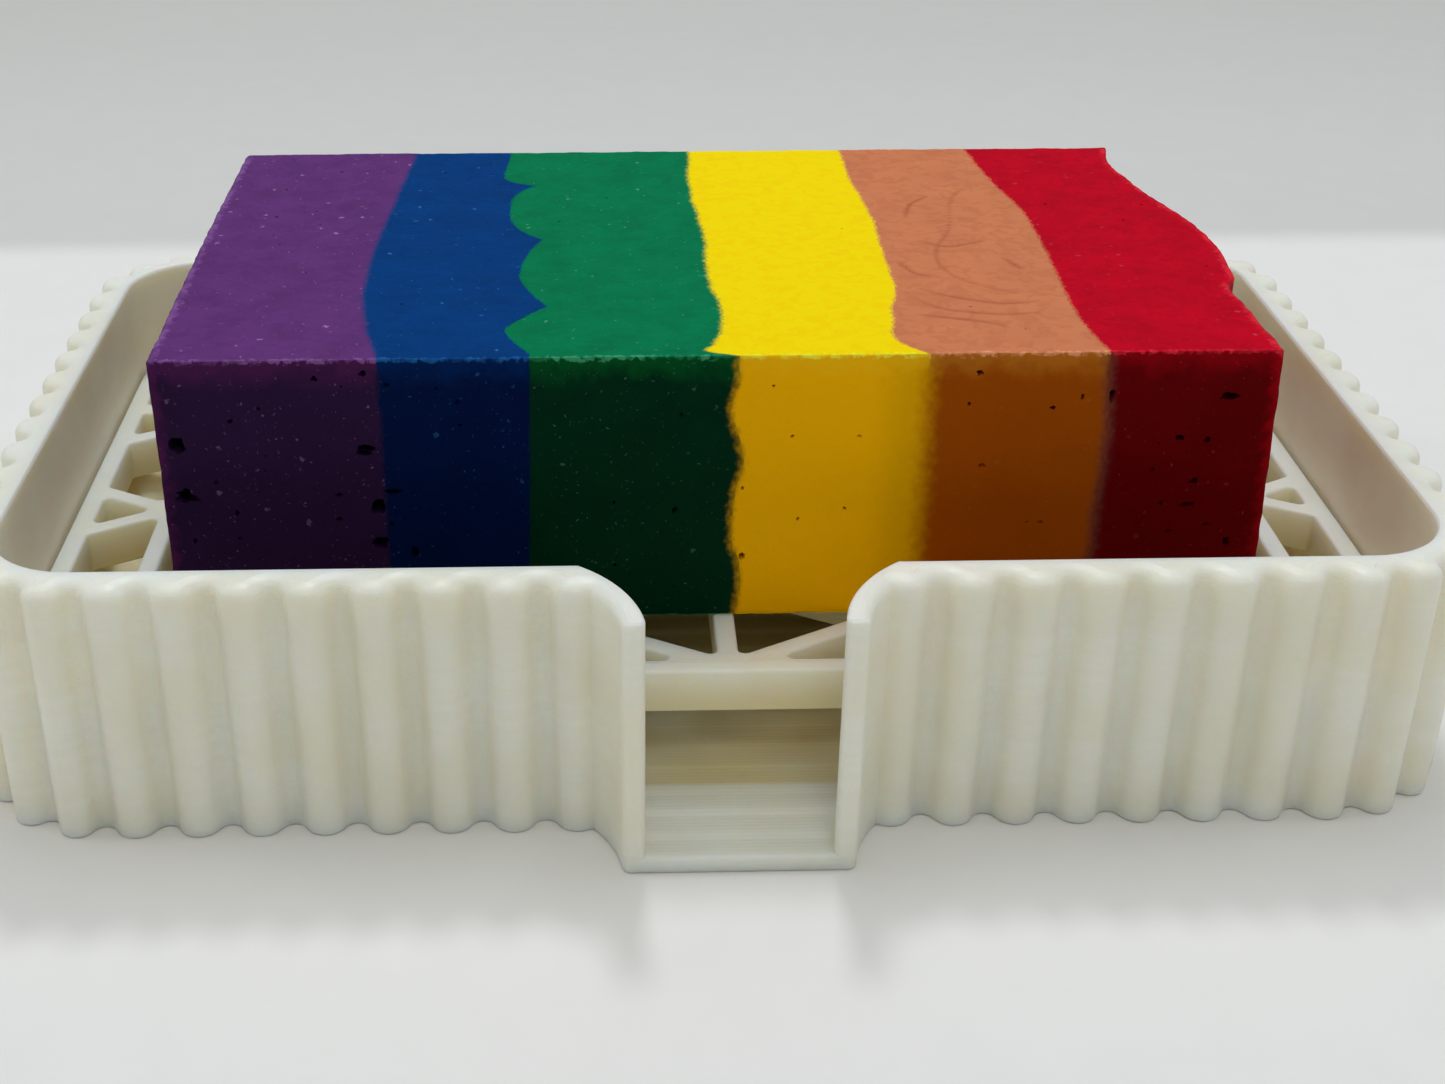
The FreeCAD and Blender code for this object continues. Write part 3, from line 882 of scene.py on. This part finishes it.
class Paint:
    """A material's node tree, with short ways to add nodes to it.

    Sizes and depths are given in millimetres; coordinates are in metres."""

    def __init__(self, name, **values):
        self.material = bpy.data.materials.new(name)
        self.material.use_nodes = True
        self.tree = self.material.node_tree
        self.shader = self.tree.nodes["Principled BSDF"]
        self.set(self.shader, values)
        self.place = self.add("ShaderNodeTexCoord").outputs["Object"]
        geometry = self.add("ShaderNodeNewGeometry").outputs["Normal"]
        up = self.add("ShaderNodeSeparateXYZ", {"Vector": geometry}).outputs["Z"]
        self.flat = self.math("ABSOLUTE", up)
        split = self.add("ShaderNodeSeparateXYZ", {"Vector": self.place}).outputs
        self.x, self.y, self.z = split["X"], split["Y"], split["Z"]

    def set(self, node, inputs):
        for key, value in inputs.items():
            socket = node.inputs[key]
            if isinstance(value, bpy.types.NodeSocket):
                self.tree.links.new(value, socket)
            else:
                socket.default_value = value

    def add(self, kind, inputs=None, **settings):
        node = self.tree.nodes.new(kind)
        for key, value in settings.items():
            setattr(node, key, value)
        self.set(node, inputs or {})
        return node

    def math(self, operation, a, b=0.0, c=0.0):
        return self.add("ShaderNodeMath", {0: a, 1: b, 2: c}, operation=operation).outputs[0]

    def plus(self, a, b):
        return self.math("ADD", a, b)

    def minus(self, a, b):
        return self.math("SUBTRACT", a, b)

    def times(self, a, b):
        return self.math("MULTIPLY", a, b)

    def vector(self, operation, inputs):
        return self.add("ShaderNodeVectorMath", inputs, operation=operation).outputs[0]

    def ramp(self, value, low, high, out_low=0.0, out_high=1.0):
        """A smooth change from out_low to out_high while the value goes from low to high."""
        inputs = {"Value": value, "From Min": low, "From Max": high,
                  "To Min": out_low, "To Max": out_high}
        return self.add("ShaderNodeMapRange", inputs, interpolation_type="SMOOTHSTEP").outputs[0]

    def mix(self, share, one, two, blend="MIX"):
        inputs = {0: share, 6: one, 7: two}
        return self.add("ShaderNodeMix", inputs, data_type="RGBA", blend_type=blend).outputs[2]

    def noise(self, size, detail=2.0, stretch=None, distortion=0.0, roughness=0.5):
        """Noise from about 0 to 1; size is its grain."""
        vector = self.vector("MULTIPLY", {0: self.place, 1: stretch}) if stretch else self.place
        inputs = {"Vector": vector, "Scale": 1 / (size * MM), "Detail": detail,
                  "Distortion": distortion, "Roughness": roughness}
        return self.add("ShaderNodeTexNoise", inputs).outputs[0]

    def vary(self, low, high, size, detail, least=0.3, most=0.7):
        """Noise that runs from low to high."""
        return self.ramp(self.noise(size, detail), least, most, low, high)

    def waves(self, value, size):
        """Rounded ridges of that width along a coordinate."""
        return self.math("ABSOLUTE", self.math("SINE", self.times(value, math.pi / (size * MM))))

    def bump(self, height, depth, normal=None):
        """Relief of that depth, on top of an earlier one."""
        inputs = {"Height": height, "Distance": depth * MM, "Strength": 1.0}
        if normal is not None:
            inputs["Normal"] = normal
        return self.add("ShaderNodeBump", inputs).outputs[0]

    def grey(self, value):
        inputs = {"Red": value, "Green": value, "Blue": value}
        return self.add("ShaderNodeCombineColor", inputs).outputs[0]

    def beside(self, value, low, high):
        """Distance from a coordinate to the nearer of two limits in millimetres."""
        return self.math("MINIMUM", self.minus(value, low * MM), self.minus(high * MM, value))

    def warped(self, reach, size):
        """The object coordinates, pushed about by up to that reach."""
        inputs = {"Vector": self.place, "Scale": 1 / (size * MM), "Detail": 1.0}
        push = self.add("ShaderNodeTexNoise", inputs).outputs["Color"]
        push = self.vector("SUBTRACT", {0: push, 1: (0.5, 0.5, 0.5)})
        push = self.vector("SCALE", {0: push, "Scale": 2 * reach * MM})
        return self.vector("ADD", {0: self.place, 1: push})

    def mark(self, name):
        """A value that mark_soap left on each point."""
        return self.add("ShaderNodeAttribute", attribute_name=name).outputs["Fac"]

    def finish(self, **values):
        self.set(self.shader, values)
        return self.material


def rgba(colour):
    return (*colour, 1.0)


TRAY_TINTS = (0.93, 0.905, 0.77), (0.89, 0.85, 0.68)
GRID_TINTS = (0.93, 0.905, 0.75), (0.89, 0.85, 0.66)
# Painted shade for the plastic below the grid, darker and warmer than its own colour.
UNDER_GRID_PAINTED_SHADE = (0.84, 0.73, 0.41, 1)
LAYER_RELIEF = 0.010        # depths of the plastic's reliefs
LINE_RELIEF = 0.012
PLASTIC_GRAIN = 0.012
# Light spreads inside the plastic, the red furthest.
PLASTIC = {"Roughness": 0.42, "Specular IOR Level": 0.35, "Subsurface Weight": 0.7,
           "Subsurface Scale": 3.0 * MM, "Subsurface Radius": (1.0, 0.72, 0.42)}


def printed_plastic(name, colour, shade):
    """Off-white printed plastic: fine layer lines on the walls, line marks on the top."""
    paint = Paint(name, **PLASTIC)
    cloud = paint.noise(9, 2)
    tint = paint.mix(paint.ramp(cloud, 0.35, 0.65), rgba(colour), rgba(shade))
    layer_tone = paint.noise(0.7, 1, stretch=(0.02, 0.02, 1.0))
    tint = paint.mix(paint.ramp(layer_tone, 0.3, 0.7, 0.0, 0.35), tint, rgba(shade))
    # Painted shade: inside the dish below the grid, the plastic is painted darker and warmer in
    # patches, where the grid and the soap shade it.
    across = paint.beside(paint.x, WALL - HALF_WIDTH, HALF_WIDTH - WALL)
    along = paint.beside(paint.y, FRONT_Y + WALL, BACK_Y - WALL)
    inside = paint.ramp(paint.math("MINIMUM", across, along), -0.2 * MM, 0.2 * MM)
    low = paint.ramp(paint.z, GRID_HIGH.z * MM, GRID_LOW.z * MM)
    patchy = paint.ramp(cloud, 0.3, 0.7, 0.7, 1.0)
    tint = paint.mix(paint.times(paint.times(inside, low), patchy), tint, UNDER_GRID_PAINTED_SHADE)
    wall = paint.ramp(paint.flat, 0.85, 0.6)
    top = paint.ramp(paint.flat, 0.9, 0.98)
    normal = paint.bump(paint.times(paint.waves(paint.z, LAYER_HEIGHT), wall), LAYER_RELIEF)
    normal = paint.bump(paint.times(paint.waves(paint.y, LINE_WIDTH), top), LINE_RELIEF, normal)
    normal = paint.bump(paint.noise(0.35, 3), PLASTIC_GRAIN, normal)
    roughness = paint.vary(0.36, 0.5, 0.8, 3)
    return paint.finish(**{"Base Color": tint, "Normal": normal, "Roughness": roughness})


SOAP_COLOURS_AND_PAINTED_LIGHT = {
    # colour: (cut top, side faces darkened with painted shade, pale specks, clouds of the top,
    # painted glow near the edges)
    "purple": ((0.125, 0.036, 0.165), (0.027, 0.009, 0.042), (0.40, 0.22, 0.42),
               (0.105, 0.028, 0.140), (0.105, 0.014, 0.085)),
    "blue": ((0.0002, 0.044, 0.185), (0.0, 0.007, 0.048), (0.05, 0.24, 0.50),
             (0.0, 0.036, 0.155), (0.0, 0.028, 0.15)),
    "green": ((0.0002, 0.190, 0.068), (0.0, 0.026, 0.009), (0.20, 0.55, 0.33),
              (0.0, 0.160, 0.055), (0.0, 0.13, 0.02)),
    "yellow": ((1.0, 0.75, 0.0), (1.0, 0.49, 0.0), (1.0, 0.85, 0.20),
               (1.0, 0.64, 0.0), (1.0, 0.55, 0.01)),
    "orange": ((0.650, 0.215, 0.092), (0.350, 0.068, 0.0), (0.80, 0.45, 0.25),
               (0.520, 0.150, 0.060), (0.60, 0.22, 0.02)),
    "red": ((0.550, 0.0005, 0.014), (0.125, 0.0, 0.001), (0.75, 0.10, 0.12),
            (0.44, 0.0, 0.010), (0.42, 0.001, 0.008)),
}
CLOUD_SHARE = {"yellow": 0.5, "orange": 0.4}    # how strong the clouds are on top
TONE_SPREAD = {"yellow": 0.0, "orange": 0.03}   # how far the tone wanders
SPECKLED = {"purple": 1.0, "blue": 0.8, "green": 0.6, "yellow": 0.1, "orange": 0.2, "red": 0.5}
# Painted shade in the holes: how dark each colour's holes are painted at their deepest.
HOLE_PAINTED_SHADE = {"purple": 0.9, "blue": 0.9, "green": 0.7, "yellow": 0.6, "orange": 0.5,
                 "red": 0.55}
# How far each pair of neighbouring colours runs together, in millimetres: on top, at the sides.
BLEED = {"blue": (0.35, 0.25), "green": (0.1, 0.12), "yellow": (0.35, 0.55),
         "orange": (0.25, 0.0), "red": (0.25, 0.5)}
# Sizes of pale specks: cell in millimetres, how rare, radius as a share of the cell, and
# how strong they are on the cut top and on the sides.
SPECKS = ((1.7, 0.86, 0.16, 0.8, 0.25), (0.8, 0.84, 0.16, 0.6, 0.35), (0.4, 0.8, 0.22, 0.2, 0.2))
SIDE_SEAM = {"red": (0.13, 0.036, 0.030)}       # a duller seam between two colours
HOLE_SHADE_COLOUR = (0.0, 0.0, 0.0, 1)
DULL_YELLOW = (0.74, 0.37, 0.0, 1)
STREAK_COLOUR = (0.30, 0.072, 0.028, 1)
TURN_SHIFT = 0.9            # from the orange's left face to where yellow turns to orange
# The painted glow reaches this far down the sides below the upper edges.
GLOW_REACH = 2.6            # how far down the sides glow below the upper edges
SOAP_RELIEF = 0.06          # depths of the soap's reliefs
SOAP_GRAIN = 0.018


def soap_base(paint, colour):
    """The colour of one layer's soap, on top and at the sides, without specks. The sides are darker
    than the top, partly as painted shade and partly as the cut top's own paler colour.
    """
    top, side, _, cloud, glow = SOAP_COLOURS_AND_PAINTED_LIGHT[colour]
    face = rgba(side)
    if colour in ("yellow", "orange"):
        # Yellow turns to orange gradually on the sides, by way of a duller yellow.
        middle = layer_box("orange")[0].x + TURN_SHIFT
        blurred = paint.plus(paint.x, paint.vary(-0.4 * MM, 0.4 * MM, 0.8, 3, 0, 1))
        turned = paint.ramp(blurred, (middle - 1.4) * MM, (middle + 1.3) * MM)
        dull = paint.ramp(blurred, (middle - 5) * MM, (middle - 1) * MM, 0.0, 0.75)
        face = paint.mix(dull, rgba(SOAP_COLOURS_AND_PAINTED_LIGHT["yellow"][1]), DULL_YELLOW)
        face = paint.mix(turned, face, rgba(SOAP_COLOURS_AND_PAINTED_LIGHT["orange"][1]))
    # Painted light: the sides are painted lighter below the upper edges and beside the ends, a
    # painted glow of light coming in over the edges.
    below = paint.minus(SOAP_HIGH.z * MM, paint.z)
    under_edge = paint.plus(below, paint.vary(-0.5 * MM, 0.5 * MM, 1.6, 2))
    painted_glow = paint.ramp(under_edge, 0.1 * MM, GLOW_REACH * MM, 0.5, 0.0)
    face = paint.mix(painted_glow, face, rgba(glow))
    if colour in END_FACES:
        beside_end = paint.plus(paint.mark("end_gap"), paint.vary(-0.3, 0.3, 0.9, 3))
        face = paint.mix(paint.ramp(beside_end, 0.1, 1.1, 0.55, 0.0), face, rgba(glow))
    clouds = paint.noise(1.3, 4, distortion=0.8)
    mottle = paint.ramp(clouds, 0.44, 0.64, 0.0, CLOUD_SHARE.get(colour, 0.5))
    cut = paint.mix(mottle, rgba(top), rgba(cloud))
    height = paint.beside(paint.z, SOAP_LOW.z, SOAP_HIGH.z)
    near_top = paint.ramp(height, 0.25 * MM, 0.5 * MM, 1.0, 0.0)
    # Painted shade: faces that turn sideways take the darker side colour and faces that turn up
    # take the paler cut colour. Part of the difference is the cut top's own colour.
    on_top = paint.times(paint.ramp(paint.flat, 0.45, 0.85), near_top)
    return paint.mix(on_top, face, cut), on_top


def blend_neighbours(paint, colour, base, on_top):
    """Lets each colour run a little into its neighbours."""
    number = COLOURS.index(colour)
    for gap, other, edge in (("left_gap", number - 1, colour), ("right_gap", number + 1, None)):
        if not 0 <= other < len(COLOURS):
            continue
        edge = edge or COLOURS[other]
        reach_top, reach_side = BLEED[edge]
        away = paint.plus(paint.mark(gap), paint.vary(-0.12, 0.12, 0.5, 3))
        reach = paint.ramp(on_top, 0, 1, max(reach_side, 0.01), reach_top)
        share = paint.ramp(paint.math("DIVIDE", away, reach), -1.0, 1.0, 1.0, 0.0)
        if reach_side == 0.0:
            share = paint.times(share, on_top)
        # The neighbour's colour carries the same painted shade on its sides.
        other_top, other_side = SOAP_COLOURS_AND_PAINTED_LIGHT[COLOURS[other]][:2]
        neighbour = paint.mix(on_top, rgba(other_side), rgba(other_top))
        base = paint.mix(share, base, neighbour)
        if edge in SIDE_SEAM:
            seam = paint.times(paint.ramp(away, 0.1, 0.9, 0.5, 0.0), paint.ramp(on_top, 0, 1, 1, 0))
            base = paint.mix(seam, base, rgba(SIDE_SEAM[edge]))
    return base


def pale_edge_wear_and_highlight(paint, colour):
    """A thin, paler line along the upper edges: partly soap that the cutter crumbled, partly a
    painted highlight on the rounded edge.
    """
    below = paint.minus(SOAP_HIGH.z * MM, paint.z)
    edge = paint.plus(paint.beside(paint.y, SOAP_LOW.y, SOAP_HIGH.y), below)
    edge = paint.plus(edge, paint.vary(-0.15 * MM, 0.25 * MM, 0.5, 3))
    worn = paint.ramp(edge, 0.48 * MM, 0.28 * MM)
    if colour in END_FACES:
        end = paint.math("MULTIPLY_ADD", paint.mark("end_gap"), MM, below)
        end = paint.plus(end, paint.vary(-0.25 * MM, 0.25 * MM, 0.5, 3))
        worn = paint.math("MAXIMUM", worn, paint.ramp(end, 0.9 * MM, 0.3 * MM))
    patch = paint.ramp(paint.noise(1.8, 3), 0.42, 0.58, 0.25, 0.8)
    return paint.times(worn, patch)


def add_specks(paint, colour, base, on_top):
    """Pale specks: a few larger ones, more small ones, thicker in some places."""
    speckled = SPECKLED[colour]
    crowd = paint.ramp(paint.noise(6.0, 2), 0.35, 0.65, 0.05, -0.12)
    crowd = paint.minus(crowd, 0.08 * speckled)
    for size, chance, reach, top_share, side_share in SPECKS:
        inputs = {"Vector": paint.warped(0.3, 0.35), "Scale": 1 / (size * MM)}
        cells = paint.add("ShaderNodeTexVoronoi", inputs).outputs
        lot = paint.add("ShaderNodeSeparateColor", {"Color": cells["Color"]}).outputs[0]
        rare = paint.math("GREATER_THAN", paint.minus(lot, crowd), chance)
        strength = paint.ramp(on_top, 0, 1, side_share * speckled, top_share * speckled)
        inside = paint.times(strength, paint.ramp(cells["Distance"], reach, 0.4 * reach))
        base = paint.mix(paint.times(rare, inside), base, rgba(SOAP_COLOURS_AND_PAINTED_LIGHT[colour][2]))
    return base


def soap_material(colour):
    """Soap of one colour: a paler cut top, darker smooth sides that are partly painted shade,
    specks and fine pores.
    """
    paint = Paint("soap_" + colour, **{"Specular IOR Level": 0.3, "IOR": 1.12})
    base, on_top = soap_base(paint, colour)
    spread = TONE_SPREAD.get(colour, 0.07)
    tone = paint.vary(1 - spread, 1 + spread, 4.0, 3)
    base = paint.mix(1.0, base, paint.grey(tone), "MULTIPLY")
    base = blend_neighbours(paint, colour, base, on_top)
    top, _, speck = SOAP_COLOURS_AND_PAINTED_LIGHT[colour][:3]
    pale = tuple(min(1, 0.3 * a + 1.1 * b) for a, b in zip(speck, top))
    # Paler upper edges: crumbled soap together with a painted highlight.
    base = paint.mix(pale_edge_wear_and_highlight(paint, colour), base, rgba(pale))
    base = add_specks(paint, colour, base, on_top)
    if colour == "orange":
        base = paint.mix(paint.times(paint.mark("streak"), 0.6), base, STREAK_COLOUR)
    # Painted shade: the holes are painted darker the deeper they reach into the bar.
    hollow = paint.times(paint.mark("hollow"), HOLE_PAINTED_SHADE[colour])
    base = paint.mix(hollow, base, HOLE_SHADE_COLOUR)
    normal = paint.bump(paint.noise(0.5, 4, roughness=0.65), SOAP_RELIEF)
    normal = paint.bump(paint.noise(0.16, 2), SOAP_GRAIN, normal)
    roughness = paint.ramp(on_top, 0, 1, 0.55, 0.7)
    return paint.finish(**{"Base Color": base, "Normal": normal, "Roughness": roughness})


STREAK_DEPTH = 0.05
STREAK_WIDTH = 0.2
STREAK_POINTS = 60
MARK_REACH = 5.0            # gaps are marked up to this many millimetres
# Darker lines that the pour left in the orange: X and distance from the bar's front.
STREAKS = [
    [(25.0, 39.7), (23.4, 36.2), (22.0, 28.4), (20.2, 23.6), (19.9, 19.0), (21.7, 15.2),
     (25.0, 12.7)],
    [(18.6, 31.8), (19.5, 35.2), (21.3, 37.5)],
    [(16.4, 20.2), (17.3, 17.7), (18.5, 16.7)],
    [(17.4, 13.8), (19.8, 11.9), (23.2, 10.5), (26.5, 10.8)],
    [(16.5, 8.0), (18.4, 7.5), (21.2, 6.6), (22.9, 5.6)],
    [(16.6, 11.6), (18.7, 9.3), (22.8, 8.1), (26.0, 8.3)],
    [(25.6, 20.9), (26.6, 18.3)],
    [(19.0, 25.5), (21.2, 24.0), (24.4, 25.2)],
]


def streak_strength(points):
    """How strongly each point, in millimetres, lies on one of the streaks; 0 to 1."""
    total = np.zeros(len(points))
    for line in STREAKS:
        xs, backs = zip(*line)
        at = np.linspace(0, len(line) - 1, STREAK_POINTS)
        knots = list(range(len(line)))
        px = smooth_curve(list(zip(knots, xs)), at)
        py = smooth_curve(list(zip(knots, backs)), at) + SOAP_LOW.y
        away = np.hypot(points[:, :1] - px, points[:, 1:2] - py)
        near = away.argmin(1)
        fade = np.sin(np.pi * (at[near] + 0.25) / (len(line) - 0.5))
        strength = np.exp(-(away.min(1) / STREAK_WIDTH) ** 2) * (0.35 + 0.65 * fade)
        total = np.maximum(total, strength)
    return total * (points[:, 2] > SOAP_HIGH.z - 0.5)


def mark_soap(piece, number):
    """Gives each point what the material asks for, and presses the orange's streaks in.

    left_gap and right_gap are millimetres to the neighbouring colours, end_gap to the
    bar's end. hollow is 1 deep in a hole and 0 on the bar's surface, and streak is 1 on
    the orange's dark lines."""
    mesh = piece.data
    flat = np.zeros(len(mesh.vertices) * 3, np.float32)
    mesh.vertices.foreach_get("co", flat)
    points = flat.reshape(-1, 3).astype(float) / MM
    colour = COLOURS[number]
    following = COLOURS[number + 1] if number + 1 < len(COLOURS) else "end"
    x, y, z = points.T
    left, right = soap_face(colour, y, z), soap_face(following, y, z)
    depth = np.minimum.reduce([y - SOAP_LOW.y, SOAP_HIGH.y - y, z - SOAP_LOW.z, SOAP_HIGH.z - z])
    marks = {
        "left_gap": x - left if number > 0 else np.full_like(x, MARK_REACH),
        "right_gap": right - x if following != "end" else np.full_like(x, MARK_REACH),
        # hollow sets the painted shade in the holes.
        "hollow": np.clip((depth - 0.2) / 0.35, 0, 1),
    }
    if colour == "orange":
        marks["streak"] = streak_strength(points)
        points[:, 2] -= STREAK_DEPTH * marks["streak"]
        mesh.vertices.foreach_set("co", (points * MM).astype(np.float32).ravel())
    if colour in END_FACES:
        marks["end_gap"] = x - left if number == 0 else right - x
        marks["hollow"] *= marks["end_gap"] > 0.4
    for name, values in marks.items():
        values = np.clip(values, 0, MARK_REACH).astype(np.float32)
        mesh.attributes.new(name, "FLOAT", "POINT").data.foreach_set("value", values)


def make_soap():
    """The six layers of the bar, with their holes, marks and materials."""
    for number, colour in enumerate(COLOURS):
        piece = make_layer(number)
        cut_pits(piece, colour, np.random.default_rng(11 + number))
        mark_soap(piece, number)
        finish_piece(piece, soap_material(colour), "soap_bar",
                     "soap_layer_" + colour, sharp=50)


# ---- floor, light and camera ---------------------------------------------------------

TABLE_END = 102             # where the pale sheet under the dish gives way to what is behind
TABLE_REACH = 4000
TABLE_TONE = (0.88, 0.855, 0.785, 1)
BEHIND_TONE = (0.68, 0.67, 0.60, 1)
FAR_TONE = (0.63, 0.62, 0.55, 1)
GRAIN_TONE = (0.94, 0.94, 0.94, 1)


def make_stage():
    """The pale table, a shade darker beyond its far end."""
    r = TABLE_REACH
    floor = new_piece("table", [(-r, -r, 0), (r, -r, 0), (r, r, 0), (-r, r, 0)], [(0, 1, 2, 3)])
    paint = Paint("table_paper", **{"Roughness": 0.7, "Specular IOR Level": 0.2})
    beyond = paint.ramp(paint.y, (TABLE_END - 3) * MM, (TABLE_END + 6) * MM)
    tone = paint.mix(beyond, TABLE_TONE, BEHIND_TONE)
    far = paint.ramp(paint.y, 1.2 * TABLE_END * MM, 2.4 * TABLE_END * MM)
    tone = paint.mix(far, tone, FAR_TONE)
    tone = paint.mix(paint.vary(0.0, 0.25, 6, 3), tone, GRAIN_TONE, "MULTIPLY")
    normal = paint.bump(paint.noise(0.5, 2), 0.01)
    floor.data.materials.append(paint.finish(**{"Base Color": tone, "Normal": normal}))


DAYLIGHT = (0.92, 0.975, 1.08)
WARM = (1.0, 0.975, 0.95)
WORLD_STRENGTH = 0.29
# name: (place, size, power, colour)
LAMPS = {
    "window": ((0, 330, 640), 110, 1.32, DAYLIGHT),
    "front_lamp": ((60, -420, 560), 240, 0.54, (0.94, 0.975, 1.06)),
    "left_lamp": ((-560, 40, 420), 300, 0.5, WARM),
    "right_lamp": ((560, 40, 420), 300, 0.35, WARM),
    "ceiling": ((0, 120, 800), 700, 1.5, DAYLIGHT),
}
LAMP_TARGET = (0, 0, 15)


def make_lights():
    """A soft world and round lamps that all point at the dish."""
    world = bpy.data.worlds.new("studio")
    world.use_nodes = True
    background = world.node_tree.nodes["Background"]
    background.inputs["Color"].default_value = rgba(DAYLIGHT)
    background.inputs["Strength"].default_value = WORLD_STRENGTH
    bpy.context.scene.world = world
    for name, (place, size, power, colour) in LAMPS.items():
        light = bpy.data.lights.new(name, "AREA")
        light.shape = "DISK"
        light.size = size * MM
        light.energy = power
        light.color = colour
        lamp = bpy.data.objects.new(name, light)
        lamp.location = Vector(place) * MM
        lamp.rotation_mode = "QUATERNION"
        away = Vector(place) - Vector(LAMP_TARGET)
        lamp.rotation_quaternion = away.to_track_quat("Z", "Y")
        bpy.context.scene.collection.objects.link(lamp)


CAMERA_PLACE = (-9.77, -163.85, 95.38)
CAMERA_TURN = (60.820, 0.076, -1.403)       # degrees


def make_camera():
    """The photo's camera, fitted to the dish's edges and ribs."""
    data = bpy.data.cameras.new("camera")
    data.lens = 49.92
    data.sensor_width = 36
    data.shift_x = 0.0583
    data.shift_y = 0.0263
    data.clip_start = 0.005
    data.clip_end = 20
    camera = bpy.data.objects.new("camera", data)
    camera.location = Vector(CAMERA_PLACE) * MM
    camera.rotation_euler = tuple(math.radians(a) for a in CAMERA_TURN)
    bpy.context.scene.collection.objects.link(camera)
    bpy.context.scene.camera = camera


# ---- build ---------------------------------------------------------------------------

make_camera()
make_lights()
make_stage()
make_tray(printed_plastic("tray_plastic", *TRAY_TINTS))
make_grid(printed_plastic("grid_plastic", *GRID_TINTS))
make_soap()
bpy.context.scene.view_settings.view_transform = "Standard"
